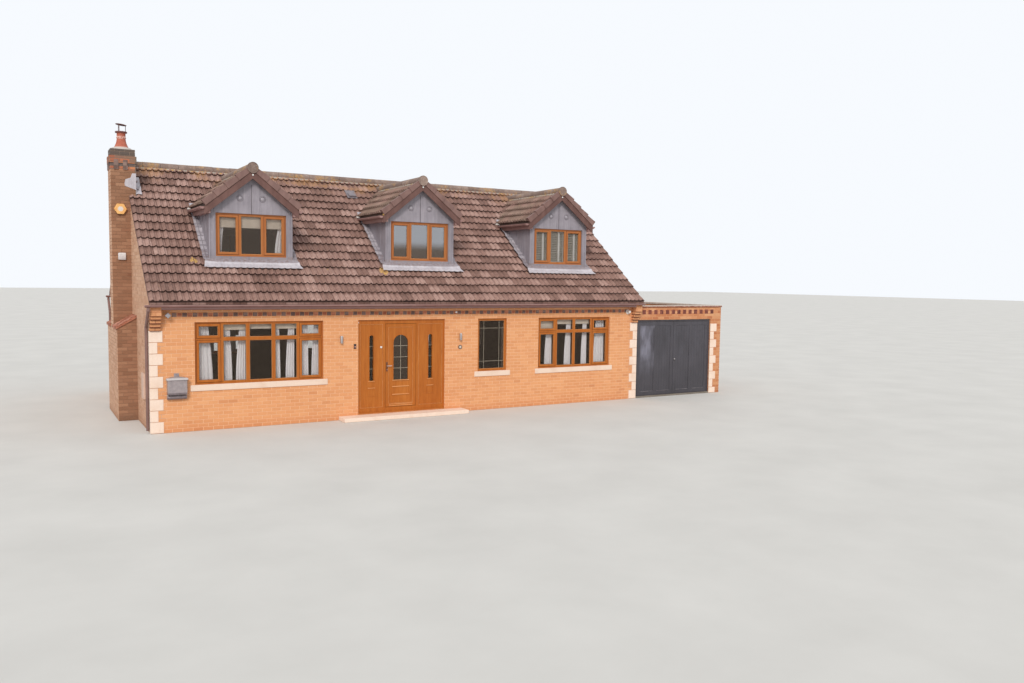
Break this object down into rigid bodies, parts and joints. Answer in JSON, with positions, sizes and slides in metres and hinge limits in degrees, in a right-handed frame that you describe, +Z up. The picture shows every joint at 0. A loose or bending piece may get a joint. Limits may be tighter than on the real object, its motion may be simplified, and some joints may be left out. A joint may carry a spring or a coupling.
{
  "type": "detached house",
  "caption": "Detached brick house with rooms in a tiled gable roof, lead-clad gabled dormers, a gable chimney and an attached flat-roofed garage.",
  "frame": {"origin": "on the ground, under the middle of the main house's ground floor slab", "axes": "+X to the right along the front wall as seen from the street, +Y into the house from front to rear, +Z up"},
  "size_m": [17.747, 9.073, 7.3384],
  "materials": {
    "brick": "rough",
    "concrete": "rough",
    "stone": "matt",
    "coping": "rough",
    "deck": "matt",
    "tiles": "rough",
    "brown_trim": "satin",
    "oak_trim": "satin",
    "glass": "clear",
    "handle": "polished",
    "grey_paint": "satin",
    "felt": "rough",
    "terracotta": "matt",
    "cap_brick": "rough",
    "lead": "dull grey lead",
    "box_metal": "satin",
    "plastic": "satin"
  },
  "bodies": {
    "house": {"floor_slabs": "concrete", "front_wall_left": "brick", "front_wall_right": "brick", "front_door_lintel": "brick", "rear_wall": "brick", "left_gable_wall": "brick", "right_gable_wall": "brick", "first_floor_deck": "deck", "roof_lower_slopes": "tiles", "roof_bay_slopes": "tiles", "front_roof_upper_slope": "tiles", "rear_roof_upper_slope": "tiles", "ridge_tiles": "tiles", "eaves_boards": "brown_trim", "gutters": "brown_trim", "downpipes": "brown_trim", "kneelers": "brick", "quoins": "stone", "window_frames": "oak_trim", "window_glass": "glass", "window_sills": "stone", "front_door_frame": "oak_trim", "front_step": "stone", "garage_pier": "brick", "garage_lintel": "brick", "garage_side_wall": "brick", "garage_rear_wall": "brick", "garage_flat_roof": "felt", "garage_coping": "coping", "garage_door_frame": "grey_paint", "chimney_breast": "brick", "chimney_shoulders": "terracotta", "chimney_stack": "brick", "chimney_cap": "cap_brick", "chimney_pot": "terracotta", "dormer_fronts": "lead", "dormer_cheeks": "lead", "dormer_roofs": "tiles", "dormer_bargeboards": "brown_trim", "dormer_flashings": "lead", "letter_box": "box_metal", "wall_lamps": "box_metal", "wall_fittings": "plastic", "alarm_boxes": "plastic"},
    "front_door": {"front_door_leaf": "oak_trim", "front_door_glass": "glass", "front_door_handle": "handle"},
    "garage_leaf_left": {"garage_door_left": "grey_paint"},
    "garage_leaf_right": {"garage_door_right": "grey_paint"}
  },
  "joints": [
    {"name": "front_door_hinge", "type": "hinge", "parent": "house", "child": "front_door", "pos_m": [-0.413, -4.013, 0.3], "axis": [0, 0, -1], "range_deg": [0, 90]},
    {"name": "garage_left_hinge", "type": "hinge", "parent": "house", "child": "garage_leaf_left", "pos_m": [6.964, -4.097, 0.3], "axis": [0, 0, -1], "range_deg": [0, 90]},
    {"name": "garage_right_hinge", "type": "hinge", "parent": "house", "child": "garage_leaf_right", "pos_m": [9.836, -4.097, 0.3], "axis": [0, 0, 1], "range_deg": [0, 90]}
  ]
}
